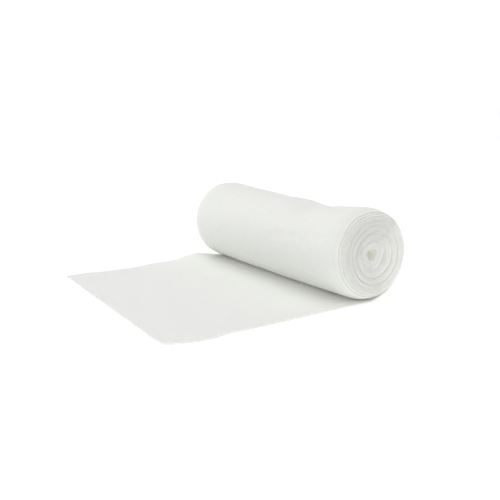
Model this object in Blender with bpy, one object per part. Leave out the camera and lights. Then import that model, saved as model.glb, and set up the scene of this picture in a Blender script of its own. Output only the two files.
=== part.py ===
"""Gauze bandage roll: one strip of soft cotton gauze, wound up without a core, its loose end laid out flat.

The roll lies on its side with its axis along Y. The loose end leaves it at the bottom and runs towards -X.
The near end of the roll, at -Y, shows the spiral. Metres, +Z up, with the origin in the middle of the
footprint, on the surface that the bandage rests on.

The cloth is built as it is made: a flat strip is cut, wound from its inner end outwards, and left with its
last stretch lying loose. Inside the roll several turns of gauze cling together, and the solid shows them as
one thick main turn, with a narrow gap to the next.
"""

import math
from collections import namedtuple

import bmesh
import bpy

MM = 0.001

# The strip of cloth
CLOTH_WIDTH = 100 * MM
LOOSE_LENGTH = 78.6 * MM
CLOTH_THICKNESS = 1.0 * MM
MAIN_TURN_THICKNESS = 2.3 * MM
TURN_GAP = 0.4 * MM

# The roll
OUTER_RADIUS = 17.0 * MM
HOLE_RADIUS = 2.7 * MM
FLAT_SPOT_SINK = 0.35 * MM
THICKENING_ANGLE = math.radians(600)
INNER_END_TAPER = math.radians(150)
LOOSE_WRAP_STARTS = math.radians(180)
LOOSE_WRAP_ENDS = math.radians(360)

# How far the outermost turn's edges stand back from the roll's end faces, and how the inner ones alternate
EDGE_SET_BACK = 0.5 * MM
SET_BACK_ANGLE = math.radians(420)
EDGE_STAGGER = 0.45 * MM
STAGGERS_PER_TURN = 0.37
EDGE_ZONE = 6 * MM

# Facets
LOOSE_STEP = 5.0 * MM
TURN_STEP = 3.1 * MM
LEAST_FACETS_PER_TURN = 14

GAUZE_COLOUR = (0.86, 0.87, 0.84, 1.0)
GAUZE_ROUGHNESS = 0.95

# One row for each place across the cloth, from the roll's near end to its far end. The radius is the
# roll's own there, and slack is how far the outermost turn hangs below the tighter roll inside it.
Station = namedtuple("Station", "across radius slack")
STATIONS = [
    Station(-50.0 * MM, 16.7 * MM, 1.2 * MM),
    Station(-49.2 * MM, 17.1 * MM, 1.2 * MM),
    Station(-47.0 * MM, 17.35 * MM, 1.2 * MM),
    Station(-42.0 * MM, 17.25 * MM, 1.1 * MM),
    Station(-35.0 * MM, 16.9 * MM, 1.0 * MM),
    Station(-28.0 * MM, 16.6 * MM, 0.8 * MM),
    Station(-21.0 * MM, 16.45 * MM, 0.7 * MM),
    Station(-14.5 * MM, 16.65 * MM, 0.6 * MM),
    Station(-8.0 * MM, 16.9 * MM, 0.5 * MM),
    Station(5.0 * MM, 16.95 * MM, 0.4 * MM),
    Station(19.0 * MM, 17.1 * MM, 0.3 * MM),
    Station(32.0 * MM, 17.4 * MM, 0.2 * MM),
    Station(43.0 * MM, 17.65 * MM, 0.0 * MM),
    Station(47.5 * MM, 17.55 * MM, 0.0 * MM),
    Station(49.3 * MM, 17.3 * MM, 0.0 * MM),
    Station(50.0 * MM, 16.9 * MM, 0.0 * MM),
]

# Where the loose end leaves the surface or its straight outline. Each row is a soft swelling centred on a
# place on the loose end, measured from the roll's foot, with the reach in which it dies away.
Swell = namedtuple("Swell", "distance across reach_along reach_across lift outward")
SWELLS = [
    Swell(17.0 * MM, 50 * MM, 13 * MM, 22 * MM, 1.9 * MM, 0.2 * MM),
    Swell(54.0 * MM, 50 * MM, 18 * MM, 16 * MM, 0.0 * MM, -3.0 * MM),
    Swell(80.0 * MM, -52 * MM, 9 * MM, 11 * MM, 0.9 * MM, -1.6 * MM),
    Swell(66.0 * MM, -50 * MM, 9 * MM, 12 * MM, 0.0 * MM, 1.0 * MM),
]
LIFTED_EDGE_DIES_AWAY = 12 * MM

FOOT_X = (LOOSE_LENGTH - max(s.radius for s in STATIONS)) / 2


def smooth(share):
    """Eases from 0 to 1 as share goes from 0 to 1."""
    share = min(1.0, max(0.0, share))
    return share * share * (3 - 2 * share)


def thickness_at(angle, last_angle=math.inf):
    """Thickness of the wound cloth, angle radians from the roll's foot towards its inner end."""
    thick = min(1.0, angle / THICKENING_ANGLE)
    thin_again = smooth((angle - last_angle + INNER_END_TAPER) / INNER_END_TAPER)
    return CLOTH_THICKNESS + (MAIN_TURN_THICKNESS - CLOTH_THICKNESS) * thick * (1 - thin_again)


def inset_at(angle):
    """How far the cloth's middle surface has come in from where it started, after winding by angle.

    Each turn comes in by its own thickness and the gap, so this is the integral of both over the angle.
    """
    growing = min(angle, THICKENING_ANGLE)
    extra = (MAIN_TURN_THICKNESS - CLOTH_THICKNESS) * growing * growing / (2 * THICKENING_ANGLE)
    extra += (MAIN_TURN_THICKNESS - CLOTH_THICKNESS) * max(0.0, angle - THICKENING_ANGLE)
    return ((CLOTH_THICKNESS + TURN_GAP) * angle + extra) / math.tau


def radius_at(angle, outer_radius):
    """Radius of the cloth's middle surface in a roll of that outer radius. The hole keeps its size."""
    plain = OUTER_RADIUS - CLOTH_THICKNESS / 2 - inset_at(angle)
    share_outwards = (plain - HOLE_RADIUS) / (OUTER_RADIUS - HOLE_RADIUS)
    return plain + (outer_radius - OUTER_RADIUS) * share_outwards


def winding_angles():
    """Angles of the facets from the roll's foot to the cloth's inner end, about evenly spaced on the cloth."""
    angles = [0.0]
    while True:
        radius = radius_at(angles[-1], OUTER_RADIUS)
        if radius - thickness_at(angles[-1]) / 2 <= HOLE_RADIUS:
            return angles
        angles.append(angles[-1] + min(TURN_STEP / radius, math.tau / LEAST_FACETS_PER_TURN))


def edge_place(angle, across):
    """Place across the roll of a point of the wound cloth: the turns' edges end a little apart."""
    near_edge = smooth((abs(across) - CLOTH_WIDTH / 2 + EDGE_ZONE) / EDGE_ZONE)
    set_back = EDGE_SET_BACK * (1 - smooth(angle / SET_BACK_ANGLE))
    stagger = EDGE_STAGGER * (0.5 - 0.5 * math.cos(STAGGERS_PER_TURN * angle))
    return across - math.copysign(near_edge * (set_back + stagger), across)


def wound_point(angle, station):
    """A point of the wound cloth's middle surface. Angle 0 is the foot, where the loose end leaves."""
    looser = smooth((angle - LOOSE_WRAP_STARTS) / (LOOSE_WRAP_ENDS - LOOSE_WRAP_STARTS))
    lifted = looser * station.slack / 2
    radius = radius_at(angle, station.radius) - lifted
    centre_height = max(station.radius, OUTER_RADIUS) - FLAT_SPOT_SINK + lifted
    x = FOOT_X + radius * math.sin(angle)
    z = centre_height - radius * math.cos(angle)
    return x, edge_place(angle, station.across), max(z, CLOTH_THICKNESS / 2)


def laid_point(distance, station):
    """A point of the loose end's middle surface, at that distance from the roll's foot."""
    foot_x, foot_y, foot_z = wound_point(0.0, station)
    back_on_surface = smooth(distance / LIFTED_EDGE_DIES_AWAY)
    y = foot_y + (station.across - foot_y) * back_on_surface
    z = foot_z + (CLOTH_THICKNESS / 2 - foot_z) * back_on_surface
    for swell in SWELLS:
        along = (distance - swell.distance) / swell.reach_along
        aside = (station.across - swell.across) / swell.reach_across
        share = (1 - smooth(abs(along))) * (1 - smooth(abs(aside)))
        z += swell.lift * share
        y += math.copysign(1, station.across) * swell.outward * share
    return foot_x - distance, y, z


def wind_cloth():
    """The cloth's middle surface as a mesh, and the thickness at each of its vertices as a share of the most."""
    loose_count = round(LOOSE_LENGTH / LOOSE_STEP)
    distances = [LOOSE_LENGTH * (loose_count - i) / loose_count for i in range(loose_count)]
    angles = winding_angles()
    along_count = len(distances) + len(angles)

    bm = bmesh.new()
    bmesh.ops.create_grid(bm, x_segments=along_count - 1, y_segments=len(STATIONS) - 1, size=1.0)
    shares = []
    for vert in bm.verts:
        column = round((vert.co.x + 1) / 2 * (along_count - 1))
        station = STATIONS[round((vert.co.y + 1) / 2 * (len(STATIONS) - 1))]
        if column < len(distances):
            vert.co = laid_point(distances[column], station)
            shares.append(CLOTH_THICKNESS / MAIN_TURN_THICKNESS)
        else:
            angle = angles[column - len(distances)]
            vert.co = wound_point(angle, station)
            shares.append(thickness_at(angle, angles[-1]) / MAIN_TURN_THICKNESS)
    mesh = bpy.data.meshes.new("gauze_bandage")
    bm.to_mesh(mesh)
    bm.free()
    return mesh, shares


def gauze_material():
    """Bleached cotton gauze: off-white, matt and a little green in its shade."""
    material = bpy.data.materials.new("gauze")
    material.use_nodes = True
    shader = material.node_tree.nodes["Principled BSDF"]
    shader.inputs["Base Color"].default_value = GAUZE_COLOUR
    shader.inputs["Roughness"].default_value = GAUZE_ROUGHNESS
    shader.inputs["Metallic"].default_value = 0.0
    material.diffuse_color = GAUZE_COLOUR
    return material


def make_bandage():
    """The whole bandage, wound roll and loose end, as one solid given its thickness on both sides."""
    mesh, shares = wind_cloth()
    bandage = bpy.data.objects.new("gauze_bandage", mesh)
    bpy.context.scene.collection.objects.link(bandage)
    mesh.materials.append(gauze_material())
    mesh.shade_smooth()
    mesh.set_sharp_from_angle(angle=math.radians(50))

    group = bandage.vertex_groups.new(name="thickness")
    for index, share in enumerate(shares):
        group.add([index], share, "REPLACE")
    solidify = bandage.modifiers.new("Cloth thickness", "SOLIDIFY")
    solidify.thickness = MAIN_TURN_THICKNESS
    solidify.offset = 0.0
    solidify.use_even_offset = True
    solidify.vertex_group = group.name
    return bandage


def main():
    for obj in list(bpy.data.objects):
        bpy.data.objects.remove(obj, do_unlink=True)
    make_bandage()


main()
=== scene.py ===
"""Gauze bandage roll: one strip of soft cotton gauze, wound up without a core, its loose end laid out flat.

The roll's axis runs along Y, the end face that the camera sees is at -Y, and the loose end runs towards -X.
Metres, +Z up, on the surface at height 0.
"""

import math

import bmesh
import bpy
from mathutils import Matrix, Vector, noise


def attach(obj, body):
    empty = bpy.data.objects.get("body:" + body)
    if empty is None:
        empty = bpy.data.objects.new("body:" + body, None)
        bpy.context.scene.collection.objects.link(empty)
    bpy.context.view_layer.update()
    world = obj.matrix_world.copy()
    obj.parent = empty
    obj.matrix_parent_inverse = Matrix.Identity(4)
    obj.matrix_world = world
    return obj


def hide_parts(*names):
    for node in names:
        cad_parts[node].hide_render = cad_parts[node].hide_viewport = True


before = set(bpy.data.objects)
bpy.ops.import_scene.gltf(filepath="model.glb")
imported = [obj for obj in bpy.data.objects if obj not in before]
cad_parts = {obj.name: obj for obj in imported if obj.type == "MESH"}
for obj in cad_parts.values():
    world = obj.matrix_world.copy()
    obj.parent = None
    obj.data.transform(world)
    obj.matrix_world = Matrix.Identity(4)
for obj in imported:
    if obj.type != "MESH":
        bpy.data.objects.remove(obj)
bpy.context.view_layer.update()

# ------------------------------------------------------------------------------------------------------
# The camera stands low in front of the near end and to its left, with the loose end in the foreground. Its
# place, turn and lens are fitted to the bandage's outline.
# ------------------------------------------------------------------------------------------------------
MM = 0.001
CAMERA_PLACE = Vector((-121.1 * MM, -217.5 * MM, 68.4 * MM))
CAMERA_LENS_MM = 46.86
NEAREST_SEEN = 10 * MM
LOOKS_RIGHT = math.radians(31.6)
LOOKS_DOWN = math.radians(12.3)
LEANS = math.radians(-0.6)

camera = bpy.data.objects.new("camera", bpy.data.cameras.new("camera"))
camera.data.lens = CAMERA_LENS_MM
camera.data.clip_start = NEAREST_SEEN
camera.matrix_world = (
    Matrix.Translation(CAMERA_PLACE)
    @ Matrix.Rotation(-LOOKS_RIGHT, 4, "Z")
    @ Matrix.Rotation(math.radians(90) - LOOKS_DOWN, 4, "X")
    @ Matrix.Rotation(LEANS, 4, "Z")
)
bpy.context.scene.collection.objects.link(camera)
bpy.context.scene.camera = camera

# ------------------------------------------------------------------------------------------------------
# The strip of gauze is loosely woven from soft bleached cotton yarn, cut 100 mm wide and left unhemmed.
# It is wound by hand from its inner end round nothing but itself, so its turns are a little uneven, and
# their cut edges don't end in one plane.
# ------------------------------------------------------------------------------------------------------
CLOTH_WIDTH = 100 * MM
CLOTH_THICKNESS = 0.38 * MM
LOOSE_LENGTH = 78.6 * MM
FOOT_X = 30.5 * MM

# The turns lie close together, from the outermost one in to the hole. Where the roll is fuller than the
# nominal radius they lie further apart, and the cloth is loftier there, by this factor at most.
NOMINAL_RADIUS = 16.7 * MM
HOLE_RADIUS = 2.5 * MM
TURN_PITCH = 0.43 * MM
MOST_LOFT = 1.2

# How far the round roll sinks into its flat spot, and the pitch of the turns that are pressed flat there
FLAT_SPOT_SINK = 0.35 * MM
FLATTENED_PITCH = 0.385 * MM

# The roll's radius, and how far its outermost turn hangs below the tighter roll inside it, at places
# along its axis. It has a waist and fuller ends.
ROLL_PROFILE = (
    (-50.0 * MM, 17.3 * MM, 2.7 * MM),
    (-47.0 * MM, 17.35 * MM, 2.6 * MM),
    (-42.0 * MM, 17.2 * MM, 2.3 * MM),
    (-35.0 * MM, 16.85 * MM, 1.9 * MM),
    (-28.0 * MM, 16.5 * MM, 1.5 * MM),
    (-21.0 * MM, 16.3 * MM, 1.2 * MM),
    (-14.5 * MM, 16.45 * MM, 1.1 * MM),
    (-8.0 * MM, 16.75 * MM, 1.0 * MM),
    (5.0 * MM, 16.85 * MM, 0.8 * MM),
    (19.0 * MM, 17.0 * MM, 0.6 * MM),
    (32.0 * MM, 17.3 * MM, 0.4 * MM),
    (43.0 * MM, 17.55 * MM, 0.2 * MM),
    (47.5 * MM, 17.55 * MM, 0.2 * MM),
    (50.0 * MM, 17.5 * MM, 0.2 * MM),
)

# The outermost turn leaves the surface and has closed on the roll after this share of a turn. Where it is
# slack the roll slumps over it, fullest at the lower right.
SLACK_TAKEN_UP_TURNS = 0.075
SLUMP_TOWARDS = math.radians(50)
SLUMP_REACH = math.radians(120)
SLUMP_POWER = 1.5

# The roll's rounded shoulders: towards both ends the turns curl in, more so on the left
CURL_STARTS = 45.5 * MM
CURL_REACH = 5.0 * MM
CURL_GROWS_OVER_TURNS = 0.25
CURLED_IN_NEAR = 1.6 * MM
CURLED_IN_FAR = 0.7 * MM
MORE_CURLED_ON_LEFT = 0.6

# The cut edges are drawn back everywhere, and further at each groove that shows as a ring on the end faces.
# Each groove's row: its place in turns from the foot, and its depth.
EDGE_ZONE = 7 * MM
DRAWN_BACK = 0.4 * MM
GROOVES = ((6.8, 0.29 * MM), (11.1, 0.32 * MM), (17.3, 0.38 * MM), (25.0, 0.28 * MM))
GROOVE_REACH_TURNS = 1.7
# How unevenly they are drawn back. Each row: how far, over what length of cloth, and where in the noise.
EDGE_UNEVENNESS = ((0.15 * MM, 70 * MM, 5.4, 2.6), (0.08 * MM, 9 * MM, 7.4, 3.6))

# The inner turns have crept out past the outer ones at the near end, and in behind them at the far one
CREPT_NEAR = 2.8 * MM
CREPT_FAR = 1.0 * MM
CREEPING_TURNS = 4.2

# The innermost turns are pushed in on one side, most of all at the end faces, and close up inside the roll
PUSHED_IN_BEHIND_TURN = 25.4
PUSHED_IN_OVER_TURNS = 0.7
PUSHED_IN_BY = 0.65 * MM
PUSHED_IN_TOWARDS = math.radians(66)
PUSHED_IN_REACH = math.radians(62)
LESS_PUSHED_IN_INSIDE = 0.7
HOLE_CLOSES_BY = 2.2 * MM
HOLE_CLOSES_OVER = 5 * MM
HOLE_CLOSING_POWER = 3

# Away from the ends, the turns inside the outermost one lie this far below it
BELOW_OUTERMOST_BY = 0.5 * MM
BELOW_OUTERMOST_OVER_TURNS = 0.2
BELOW_OUTERMOST_BEHIND = 5 * MM
BELOW_OUTERMOST_OVER = 7 * MM

# Soft dents and ridges in the outer turns. Each row: its middle, as the place along the axis and the angle
# round the roll from the foot, its reaches along and round, its turn out of the axis, and its height.
ROLL_CREASES = (
    (-19 * MM, math.radians(251), 15 * MM, 1.6 * MM, math.radians(6), -0.35 * MM),
    (-13 * MM, math.radians(244), 9 * MM, 1.3 * MM, math.radians(24), 0.22 * MM),
    (5 * MM, math.radians(227), 7 * MM, 1.2 * MM, math.radians(-16), -0.25 * MM),
    (-6 * MM, math.radians(311), 9 * MM, 2.0 * MM, math.radians(8), 0.35 * MM),
    (-22 * MM, math.radians(186), 7 * MM, 6.0 * MM, math.radians(60), -0.45 * MM),
    (-12 * MM, math.radians(178), 4 * MM, 9.0 * MM, math.radians(0), 0.25 * MM),
    (-38 * MM, math.radians(300), 10 * MM, 1.6 * MM, math.radians(-5), 0.3 * MM),
    (24 * MM, math.radians(262), 12 * MM, 2.2 * MM, math.radians(-9), -0.2 * MM),
)
CREASES_DIE_AWAY_TURNS = 13
# How uneven the outer turns are. Each row: how high, over what length of the axis, and how often round it.
OUTER_UNEVENNESS = ((0.25 * MM, 16 * MM, 2), (0.08 * MM, 5 * MM, 6))
# How uneven the inner turns are: how high, how often round the axis, and over how many turns
INNER_UNEVENNESS = (0.16 * MM, 2, 4)

# Swellings of the loose end. Each row: distance from the foot, place across, their reaches, lift, outward.
LOOSE_SWELLS = (
    (17.0 * MM, 50 * MM, 13 * MM, 22 * MM, 1.9 * MM, 0.2 * MM),
    (54.0 * MM, 50 * MM, 18 * MM, 16 * MM, 0.2 * MM, -3.0 * MM),
    (80.0 * MM, -52 * MM, 10 * MM, 11 * MM, 0.45 * MM, -2.2 * MM),
    (66.0 * MM, -50 * MM, 9 * MM, 12 * MM, 0.0 * MM, 1.0 * MM),
    (24.0 * MM, -42 * MM, 10 * MM, 12 * MM, 0.5 * MM, 0.0 * MM),
    (36.0 * MM, 14 * MM, 7 * MM, 30 * MM, 0.35 * MM, 0.0 * MM),
    (62.0 * MM, -12 * MM, 6 * MM, 24 * MM, 0.3 * MM, 0.0 * MM),
)
# How uneven the loose end is: how high, over what length of it, over what width, and where in the noise
LOOSE_UNEVENNESS = (0.3 * MM, 17 * MM, 21 * MM, 6)

# The loose end starts as narrow as the roll, has its full width a little further on, and is laid askew
FULL_WIDTH_AT = 32 * MM
LAID_ASKEW_BY = 1.1 * MM
ALL_ASKEW_AT = 70 * MM

# Its cut edges waver. Each row: over what length, and where in the noise.
CUT_EDGE_WAVER = 0.25 * MM
WAVER_ZONE = 6 * MM
LONG_EDGES_WAVER = (6 * MM, 7)
END_WAVERS = (7 * MM, 8)

# Rows of points across the cloth, from its middle to its cut edge, and columns along it, close together
# where its edges show. The inner turns' columns stand at the same angles in turn after turn, so that their
# facets don't cross.
FINE_ROWS_MM = (*range(50), 49.4, 49.75, 50)
COARSE_ROWS_MM = (0, 10, 19, 28, 36, 42, 45.5, 47, 48.2, 49.1, 49.7, 50)
LOOSE_COLUMN_STEP = 1.0 * MM
LAST_COLUMN_STEP = 0.3 * MM
COLUMNS_IN_OUTERMOST_TURN = 96
COLUMNS_PER_TURN = 48
COLUMNS_PER_INNER_TURN = 24
INNER_TURNS_START = 17


def smooth(share):
    """Eases from 0 to 1 as share goes from 0 to 1."""
    share = min(1.0, max(0.0, share))
    return share * share * (3 - 2 * share)


def angle_between(angle, towards):
    """How far the angle is past the other one round the roll, from half a turn less to half a turn more."""
    return (angle - towards + math.pi) % math.tau - math.pi


def roll_profile(across):
    """The roll's radius and its outermost turn's slack, on smooth curves through ROLL_PROFILE's rows."""
    rows = ROLL_PROFILE
    across = min(rows[-1][0], max(rows[0][0], across))
    i = max(j for j in range(len(rows) - 1) if rows[j][0] <= across)
    span = rows[i + 1][0] - rows[i][0]
    t = (across - rows[i][0]) / span
    values = []
    for column in (1, 2):
        before, start, end, after = (rows[min(len(rows) - 1, max(0, i + k))] for k in (-1, 0, 1, 2))
        leave = (end[column] - before[column]) / (end[0] - before[0]) * span
        arrive = (after[column] - start[column]) / (after[0] - start[0]) * span
        values.append(
            (2 * t**3 - 3 * t**2 + 1) * start[column] + (t**3 - 2 * t**2 + t) * leave
            + (3 * t**2 - 2 * t**3) * end[column] + (t**3 - t**2) * arrive
        )
    return values


def wind():
    """The wound cloth's columns, each as its angle from the foot, how far it has come in towards the hole,
    and its length of cloth from the foot."""
    angle, inset, length = 0.0, 0.0, 0.0
    columns = [(angle, inset, length)]
    while True:
        radius = NOMINAL_RADIUS - CLOTH_THICKNESS / 2 - inset
        if radius <= HOLE_RADIUS:
            return columns
        turn = round(angle / math.tau, 3)
        if turn < 1:
            step = math.tau / COLUMNS_IN_OUTERMOST_TURN
        elif turn < INNER_TURNS_START:
            step = math.tau / COLUMNS_PER_TURN
        else:
            step = math.tau / COLUMNS_PER_INNER_TURN
        angle += step
        inset += TURN_PITCH * step / math.tau
        length += step * radius
        columns.append((angle, inset, length))


def place_along_axis(turn, length, across):
    """The place along the axis of a point of the wound cloth."""
    side = math.copysign(1, across)
    near_edge = smooth((abs(across) - CLOTH_WIDTH / 2 + EDGE_ZONE) / EDGE_ZONE)
    drawn_back = DRAWN_BACK
    drawn_back += sum(depth * math.exp(-(((turn - at) / GROOVE_REACH_TURNS) ** 2)) for at, depth in GROOVES)
    for far, over, line, layer in EDGE_UNEVENNESS:
        drawn_back += far * noise.noise(Vector((length / over, side * line, layer)))
    crept = CREPT_NEAR + (CREPT_FAR - CREPT_NEAR) * (across / CLOTH_WIDTH + 0.5)
    crept *= 1 - math.exp(-turn / CREEPING_TURNS)
    return across - side * near_edge * drawn_back - crept


def crease_height(turn, angle, across):
    """How far the dents, ridges and unevenness of the outer turns move a point outwards."""
    shows = 1 - smooth(turn / CREASES_DIE_AWAY_TURNS)
    if shows == 0:
        return 0.0
    height = 0.0
    for middle, towards, reach_along, reach_round, skew, rise in ROLL_CREASES:
        along = across - middle
        around = angle_between(angle, towards) * NOMINAL_RADIUS
        u = (along * math.cos(skew) + around * math.sin(skew)) / reach_along
        v = (around * math.cos(skew) - along * math.sin(skew)) / reach_round
        height += rise * math.exp(-u * u - v * v)
    for rise, over, often in OUTER_UNEVENNESS:
        at = Vector((across / over, math.cos(angle) * often, math.sin(angle) * often))
        height += rise * noise.noise(at)
    return height * shows


def slump_share(angle):
    """How much of the slump shows at that angle: none on the left, all of it at the lower right."""
    past = angle_between(angle, SLUMP_TOWARDS)
    return max(0.0, math.cos(math.radians(90) * past / SLUMP_REACH)) ** SLUMP_POWER


def roll_shape(angle, across, y):
    """The height of the roll's centre there, and how much larger than nominal its outermost turn is."""
    turn = angle / math.tau
    radius, slack = roll_profile(across)
    closed_on_roll = smooth(turn / SLACK_TAKEN_UP_TURNS)
    lifted = closed_on_roll * slack / 2
    slumped = closed_on_roll * slack * slump_share(angle)
    curled = (CURLED_IN_NEAR if y < 0 else CURLED_IN_FAR) * (1 - MORE_CURLED_ON_LEFT * math.sin(angle))
    curled *= max(0.0, (abs(y) - CURL_STARTS) / CURL_REACH) ** 2 * smooth(turn / CURL_GROWS_OVER_TURNS)
    return radius - FLAT_SPOT_SINK + lifted, radius - NOMINAL_RADIUS - lifted - curled + slumped


def wound_point(column, across):
    """A point of the wound cloth's middle surface, and its loft as a share of the most.

    Angle 0 is the foot, and the angle rises on the +X side.
    """
    angle, inset, length = column
    turn = angle / math.tau
    plain = NOMINAL_RADIUS - CLOTH_THICKNESS / 2 - inset
    outwards = max(0.0, (plain - HOLE_RADIUS) / (NOMINAL_RADIUS - HOLE_RADIUS))
    from_edge = CLOTH_WIDTH / 2 - abs(across)
    y = place_along_axis(turn, length, across)
    centre_height, larger_by = roll_shape(angle, across, y)

    inside = smooth(from_edge / HOLE_CLOSES_OVER)
    pushed_in = PUSHED_IN_BY * smooth((turn - PUSHED_IN_BEHIND_TURN) / PUSHED_IN_OVER_TURNS)
    pushed_in *= 1 - LESS_PUSHED_IN_INSIDE * inside
    pushed_in *= 1 - smooth(abs(angle_between(angle, PUSHED_IN_TOWARDS)) / PUSHED_IN_REACH)
    closed_in = HOLE_CLOSES_BY * inside * (1 - outwards) ** HOLE_CLOSING_POWER
    below_outermost = BELOW_OUTERMOST_BY * smooth((turn - 1) / BELOW_OUTERMOST_OVER_TURNS)
    below_outermost *= smooth((from_edge - BELOW_OUTERMOST_BEHIND) / BELOW_OUTERMOST_OVER) * outwards

    radius = plain + larger_by * outwards - pushed_in - closed_in - below_outermost
    radius += crease_height(turn, angle, across)
    rise, often, over = INNER_UNEVENNESS
    uneven = noise.noise(Vector((math.cos(angle) * often, math.sin(angle) * often, turn / over)))
    radius += rise * (1 - outwards) * uneven
    x = FOOT_X + radius * math.sin(angle)
    z = centre_height - radius * math.cos(angle)
    lowest = CLOTH_THICKNESS / 2 + FLATTENED_PITCH * turn
    loft = 1 + larger_by / (NOMINAL_RADIUS - HOLE_RADIUS) if turn > 0 else 1
    return Vector((x, y, max(z, lowest))), min(1.0, loft / MOST_LOFT)


def laid_point(distance, across):
    """A point of the loose end's middle surface, at that distance from the foot, and its loft."""
    foot = wound_point((0.0, 0.0, 0.0), across)[0]
    laid_out = smooth(distance / FULL_WIDTH_AT)
    y = foot.y + (across - foot.y) * laid_out - LAID_ASKEW_BY * smooth(distance / ALL_ASKEW_AT)
    z = foot.z + (CLOTH_THICKNESS / 2 - foot.z) * laid_out
    for swell_at, swell_across, reach_along, reach_across, lift, outward in LOOSE_SWELLS:
        swollen = 1 - smooth(abs(distance - swell_at) / reach_along)
        swollen *= 1 - smooth(abs(across - swell_across) / reach_across)
        z += lift * swollen
        y += math.copysign(1, across) * outward * swollen
    rise, length, width, layer = LOOSE_UNEVENNESS
    z += rise * max(0.0, noise.noise(Vector((distance / length, across / width, layer)))) * laid_out
    at_edge = smooth((abs(across) - CLOTH_WIDTH / 2 + WAVER_ZONE) / WAVER_ZONE)
    over, layer = LONG_EDGES_WAVER
    y += at_edge * CUT_EDGE_WAVER * noise.noise(Vector((distance / over, across, layer))) * laid_out
    at_end = smooth((distance - LOOSE_LENGTH + WAVER_ZONE) / WAVER_ZONE)
    over, layer = END_WAVERS
    x = FOOT_X - distance + at_end * CUT_EDGE_WAVER * noise.noise(Vector((across / over, layer, layer)))
    return Vector((x, y, z)), 1 / MOST_LOFT


def outer_point(column, across):
    """A point of the outermost turn, or of the loose end, whose columns are distances from the foot."""
    return wound_point(column, across) if isinstance(column, tuple) else laid_point(column, across)


def both_sides(rows_mm):
    """The rows from one cut edge to the other, for those from the middle to one of them."""
    rows = [row * MM for row in rows_mm]
    return [-row for row in reversed(rows[1:])] + rows


def add_cloth(bm, columns, rows, point_at):
    """Adds a grid of cloth to bm, and returns it as columns of vertices.

    point_at gives the point and the loft at a column and a row.
    """
    made = bmesh.ops.create_grid(bm, x_segments=len(columns) - 1, y_segments=len(rows) - 1, size=1.0)["verts"]
    on_cloth = bm.verts.layers.float_vector["on_cloth"]
    loft = bm.verts.layers.deform["loft"]
    lines = [[None] * len(rows) for _ in columns]
    for vert in made:
        i = round((vert.co.x + 1) / 2 * (len(columns) - 1))
        j = round((vert.co.y + 1) / 2 * (len(rows) - 1))
        vert.co, vert[loft][0] = point_at(columns[i], rows[j])
        length = columns[i][2] if isinstance(columns[i], tuple) else -columns[i]
        vert[on_cloth] = Vector((length, rows[j], 0))
        lines[i][j] = vert
    return lines


loose_count = round(LOOSE_LENGTH / LOOSE_COLUMN_STEP)
loose_columns = [LOOSE_LENGTH * (loose_count - i) / loose_count for i in range(loose_count)]
loose_columns.insert(1, LOOSE_LENGTH - LAST_COLUMN_STEP)
wound_columns = wind()
outermost_columns = wound_columns[:COLUMNS_IN_OUTERMOST_TURN]
inner_columns = wound_columns[COLUMNS_IN_OUTERMOST_TURN:]
CLOTH_LENGTH = round(LOOSE_LENGTH + wound_columns[-1][2], 3)

bm = bmesh.new()
bm.verts.layers.float_vector.new("on_cloth")
bm.verts.layers.deform.new("loft")
outer = add_cloth(bm, loose_columns + outermost_columns, both_sides(FINE_ROWS_MM), outer_point)
inner = add_cloth(bm, inner_columns, both_sides(COARSE_ROWS_MM), wound_point)
# A strip of faces joins the outermost turn's last column to the next one
seam = [
    edge
    for line in (outer[-1], inner[0])
    for edge in {e for vert in line for e in vert.link_edges}
    if edge.verts[0] in line and edge.verts[1] in line
]
bmesh.ops.bridge_loops(bm, edges=seam)
bmesh.ops.recalc_face_normals(bm, faces=bm.faces)
for face in bm.faces:
    face.smooth = True
mesh = bpy.data.meshes.new("gauze_strip")
bm.to_mesh(mesh)
bm.free()
strip = bpy.data.objects.new("gauze_strip", mesh)
bpy.context.scene.collection.objects.link(strip)

strip.vertex_groups.new(name="loft")
thicken = strip.modifiers.new("Thickness", "SOLIDIFY")
thicken.thickness = CLOTH_THICKNESS * MOST_LOFT
thicken.offset = 0.0
thicken.vertex_group = "loft"

# The weave, in millimetres on the flat cloth: loose cotton threads over and under each other with open
# holes between them, a little out of line, and cloudy, with thicker and thinner yarn. The holes are painted
# darker, as painted shade of the layer below seen through them.
THREAD_COLOUR = (0.852, 0.865, 0.826, 1.0)
BETWEEN_THREADS_PAINTED_SHADE = (0.772, 0.784, 0.747, 1.0)
THREADS_ACROSS_EVERY_MM = 0.68
THREADS_ALONG_EVERY_MM = 0.56
THREAD_FINENESS = 4.0
THREAD_HEIGHT = 0.7
RISE_AT_CROSSINGS = 0.3
OUT_OF_LINE_BY_MM = 2.4
WEAVE_SHARE = 0.6
CLOUDY_SHARE = 0.45
THINNEST_COVER = 0.1
FULL_COVER = 0.8
BUMP_HEIGHT = 0.12 * MM

# What the colour is multiplied by in places, with the millimetres on the flat cloth at which that starts and
# is full. The loose end is a little cooler. Painted light lifts the shade at the roll's foot. Inside the
# hole, behind the rim, the cloth is creamier and painted light lifts its shade. The cut edges, which make the
# end faces, are painted lighter, painted light that lifts the shade between the turns.
LOOSE_END_TINT = ((0.985, 0.975, 0.995, 1.0), 0.0, -50.0)
FOOT_PAINTED_LIGHT = ((1.13, 1.13, 1.11, 1.0), 14.0, 5.0)
HOLE_CREAM_AND_PAINTED_LIGHT = ((1.13, 1.13, 1.06, 1.0), 45.0, 20.0)
HOLE_RIM_MM = 5.0
CUT_EDGE_PAINTED_LIGHT = ((1.065, 1.065, 1.04, 1.0), 1.2, 0.2)

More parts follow.
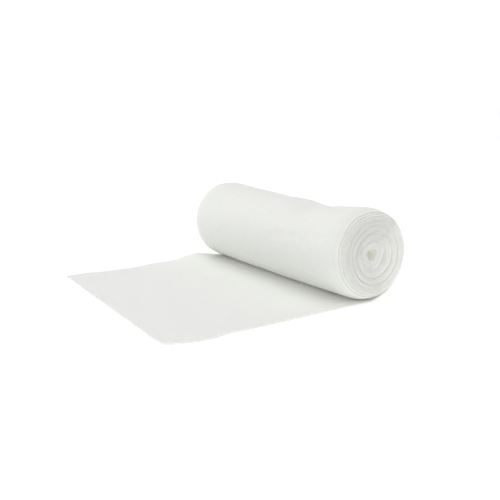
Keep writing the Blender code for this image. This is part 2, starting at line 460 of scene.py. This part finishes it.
gauze = bpy.data.materials.new("gauze")
gauze.use_nodes = True
nodes = gauze.node_tree.nodes
shader = nodes["Principled BSDF"]
shader.inputs["Roughness"].default_value = 0.95
shader.inputs["Specular IOR Level"].default_value = 0.2
shader.inputs["Sheen Weight"].default_value = 0.15
shader.inputs["Sheen Roughness"].default_value = 0.5
shader.inputs["Subsurface Weight"].default_value = 1.0
shader.inputs["Subsurface Radius"].default_value = (1.0, 1.0, 1.0)
shader.inputs["Subsurface Scale"].default_value = 0.5 * MM


def wire(kind, *sources, **settings):
    """Adds a node with those settings, links or sets its inputs in order, and returns its first output."""
    node = nodes.new(kind)
    for name, value in settings.items():
        setattr(node, name, value)
    for socket, source in zip(node.inputs, sources):
        if isinstance(source, bpy.types.NodeSocket):
            gauze.node_tree.links.new(source, socket)
        else:
            socket.default_value = source
    return node.outputs[0]


def maths(operation, *sources):
    """The output of a new Math node."""
    return wire("ShaderNodeMath", *sources, operation=operation)


def threads(wave, height):
    """The height of a row of round threads, one at each crest and trough of the wave."""
    return maths("MULTIPLY", maths("POWER", maths("ABSOLUTE", wave), THREAD_FINENESS), height)


on_cloth = nodes.new("ShaderNodeAttribute")
on_cloth.attribute_name = "on_cloth"
to_millimetres = (1 / MM, 1 / MM, 1 / MM)
millimetres = wire("ShaderNodeVectorMath", on_cloth.outputs["Vector"], to_millimetres, operation="MULTIPLY")

drift = nodes.new("ShaderNodeTexNoise")
drift.inputs["Scale"].default_value = 0.14
drift.inputs["Detail"].default_value = 3.0
gauze.node_tree.links.new(millimetres, drift.inputs["Vector"])
out_of_line = (OUT_OF_LINE_BY_MM, OUT_OF_LINE_BY_MM, 0)
drifted = wire(
    "ShaderNodeVectorMath", drift.outputs["Color"], out_of_line, millimetres, operation="MULTIPLY_ADD"
)
on_weave = nodes.new("ShaderNodeSeparateXYZ")
gauze.node_tree.links.new(drifted, on_weave.inputs[0])
wave_along = maths("COSINE", maths("MULTIPLY", on_weave.outputs["X"], math.pi / THREADS_ACROSS_EVERY_MM))
wave_across = maths("COSINE", maths("MULTIPLY", on_weave.outputs["Y"], math.pi / THREADS_ALONG_EVERY_MM))
crossings = maths("MULTIPLY", wave_along, wave_across)
weft_height = maths("MULTIPLY_ADD", crossings, RISE_AT_CROSSINGS, THREAD_HEIGHT)
warp_height = maths("SUBTRACT", 2 * THREAD_HEIGHT, weft_height)
weave = maths("MAXIMUM", threads(wave_along, weft_height), threads(wave_across, warp_height))

cloudy = nodes.new("ShaderNodeTexNoise")
cloudy.inputs["Scale"].default_value = 0.35
cloudy.inputs["Detail"].default_value = 5.0
gauze.node_tree.links.new(millimetres, cloudy.inputs["Vector"])
cover = maths("MULTIPLY_ADD", cloudy.outputs["Fac"], CLOUDY_SHARE, maths("MULTIPLY", weave, WEAVE_SHARE))
# The colour runs from painted shade in the holes between the threads to the threads' own colour, and the
# cloudy yarn varies it
weave_tone_and_shade = nodes.new("ShaderNodeValToRGB")
weave_tone_and_shade.color_ramp.elements[0].position = THINNEST_COVER
weave_tone_and_shade.color_ramp.elements[0].color = BETWEEN_THREADS_PAINTED_SHADE
weave_tone_and_shade.color_ramp.elements[1].position = FULL_COVER
weave_tone_and_shade.color_ramp.elements[1].color = THREAD_COLOUR
gauze.node_tree.links.new(cover, weave_tone_and_shade.inputs["Fac"])

on_strip = nodes.new("ShaderNodeSeparateXYZ")
gauze.node_tree.links.new(millimetres, on_strip.inputs[0])
along_strip = on_strip.outputs["X"]
from_foot = maths("ABSOLUTE", along_strip)
from_cut_edge = maths("SUBTRACT", CLOTH_WIDTH / 2 / MM, maths("ABSOLUTE", on_strip.outputs["Y"]))
from_inner_end = maths("SUBTRACT", (CLOTH_LENGTH - LOOSE_LENGTH) / MM, along_strip)
# On its way out through the rim the hole's cream tint and painted light fade, as if the cloth were further
# from the inner end
into_rim = maths("MAXIMUM", maths("SUBTRACT", HOLE_RIM_MM, from_cut_edge), 0.0)
in_hole = maths("MULTIPLY_ADD", into_rim, HOLE_CREAM_AND_PAINTED_LIGHT[1] / HOLE_RIM_MM, from_inner_end)
colour = weave_tone_and_shade.outputs["Color"]
# The tints multiply the colour in turn: the loose end's cooler tone, painted light at the foot, cream and
# painted light in the hole, and painted light on the cut edges
for measure, (multiplied_by, starts_at, full_at) in (
    (along_strip, LOOSE_END_TINT),
    (from_foot, FOOT_PAINTED_LIGHT),
    (in_hole, HOLE_CREAM_AND_PAINTED_LIGHT),
    (from_cut_edge, CUT_EDGE_PAINTED_LIGHT),
):
    tinted = nodes.new("ShaderNodeMix")
    tinted.data_type = "RGBA"
    tinted.blend_type = "MULTIPLY"
    amount = wire("ShaderNodeMapRange", measure, starts_at, full_at)
    gauze.node_tree.links.new(amount, tinted.inputs["Factor"])
    gauze.node_tree.links.new(colour, tinted.inputs[6])
    tinted.inputs[7].default_value = multiplied_by
    colour = tinted.outputs[2]
gauze.node_tree.links.new(colour, shader.inputs["Base Color"])

bump = nodes.new("ShaderNodeBump")
bump.inputs["Strength"].default_value = 0.5
bump.inputs["Distance"].default_value = BUMP_HEIGHT
gauze.node_tree.links.new(cover, bump.inputs["Height"])
gauze.node_tree.links.new(bump.outputs["Normal"], shader.inputs["Normal"])
mesh.materials.append(gauze)

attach(strip, "root")
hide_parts("gauze_bandage")

# ------------------------------------------------------------------------------------------------------
# The floor is a plain white studio floor in matt paint. It glows a little, so that it stays as white as the
# walls right up to the horizon.
# ------------------------------------------------------------------------------------------------------
FLOOR_COLOUR = (0.92, 0.92, 0.92, 1.0)
FLOOR_GLOW = 0.31
FLOOR_REACH = 20.0

floor_bm = bmesh.new()
bmesh.ops.create_grid(floor_bm, x_segments=1, y_segments=1, size=FLOOR_REACH)
floor_mesh = bpy.data.meshes.new("floor")
floor_bm.to_mesh(floor_mesh)
floor_bm.free()
floor = bpy.data.objects.new("floor", floor_mesh)
bpy.context.scene.collection.objects.link(floor)
paint = bpy.data.materials.new("floor_paint")
paint.use_nodes = True
paint_shader = paint.node_tree.nodes["Principled BSDF"]
paint_shader.inputs["Base Color"].default_value = FLOOR_COLOUR
paint_shader.inputs["Roughness"].default_value = 0.9
paint_shader.inputs["Specular IOR Level"].default_value = 0.0
paint_shader.inputs["Emission Color"].default_value = (1, 1, 1, 1)
paint_shader.inputs["Emission Strength"].default_value = FLOOR_GLOW
floor_mesh.materials.append(paint)

# ------------------------------------------------------------------------------------------------------
# The light comes from white studio walls, a little darker from just above the horizon up and darkest high
# up on the right behind the camera, and from a soft round lamp nearly straight above, a little to the left
# of the bandage and towards the camera.
# ------------------------------------------------------------------------------------------------------
WALL_BRIGHTNESS = 1.03
# Each row: the direction, how far towards it the darkening starts and ends, and the factor from there on
DARKER_PARTS = (
    ((0.0, 0.0, 1.0), 0.16, 0.35, 0.83),
    ((0.57, -0.41, 0.707), 0.78, 0.95, 0.25),
)
LAMP_PLACE = Vector((-0.1, -0.17, 0.9))
LAMP_SIZE = 0.6
LAMP_WATTS = 1.65

world = bpy.data.worlds.new("studio")
world.use_nodes = True
world_tree = world.node_tree
background = world_tree.nodes["Background"]
background.inputs["Color"].default_value = (1, 1, 1, 1)
direction = world_tree.nodes.new("ShaderNodeTexCoord")
brightness = world_tree.nodes.new("ShaderNodeValue").outputs[0]
brightness.default_value = WALL_BRIGHTNESS
for towards, starts, ends, darkest in DARKER_PARTS:
    facing = world_tree.nodes.new("ShaderNodeVectorMath")
    facing.operation = "DOT_PRODUCT"
    facing.inputs[1].default_value = towards
    factor = world_tree.nodes.new("ShaderNodeMapRange")
    factor.inputs["From Min"].default_value = starts
    factor.inputs["From Max"].default_value = ends
    factor.inputs["To Min"].default_value = 1.0
    factor.inputs["To Max"].default_value = darkest
    product = world_tree.nodes.new("ShaderNodeMath")
    product.operation = "MULTIPLY"
    world_tree.links.new(direction.outputs["Generated"], facing.inputs[0])
    world_tree.links.new(facing.outputs["Value"], factor.inputs["Value"])
    world_tree.links.new(factor.outputs["Result"], product.inputs[0])
    world_tree.links.new(brightness, product.inputs[1])
    brightness = product.outputs[0]
world_tree.links.new(brightness, background.inputs["Strength"])
bpy.context.scene.world = world

lamp = bpy.data.objects.new("lamp", bpy.data.lights.new("lamp", "AREA"))
lamp.data.shape = "DISK"
lamp.data.size = LAMP_SIZE
lamp.data.energy = LAMP_WATTS
lamp.location = LAMP_PLACE
lamp.rotation_euler = (-LAMP_PLACE).to_track_quat("-Z", "Y").to_euler()
bpy.context.scene.collection.objects.link(lamp)
bpy.context.scene.view_settings.view_transform = "Standard"
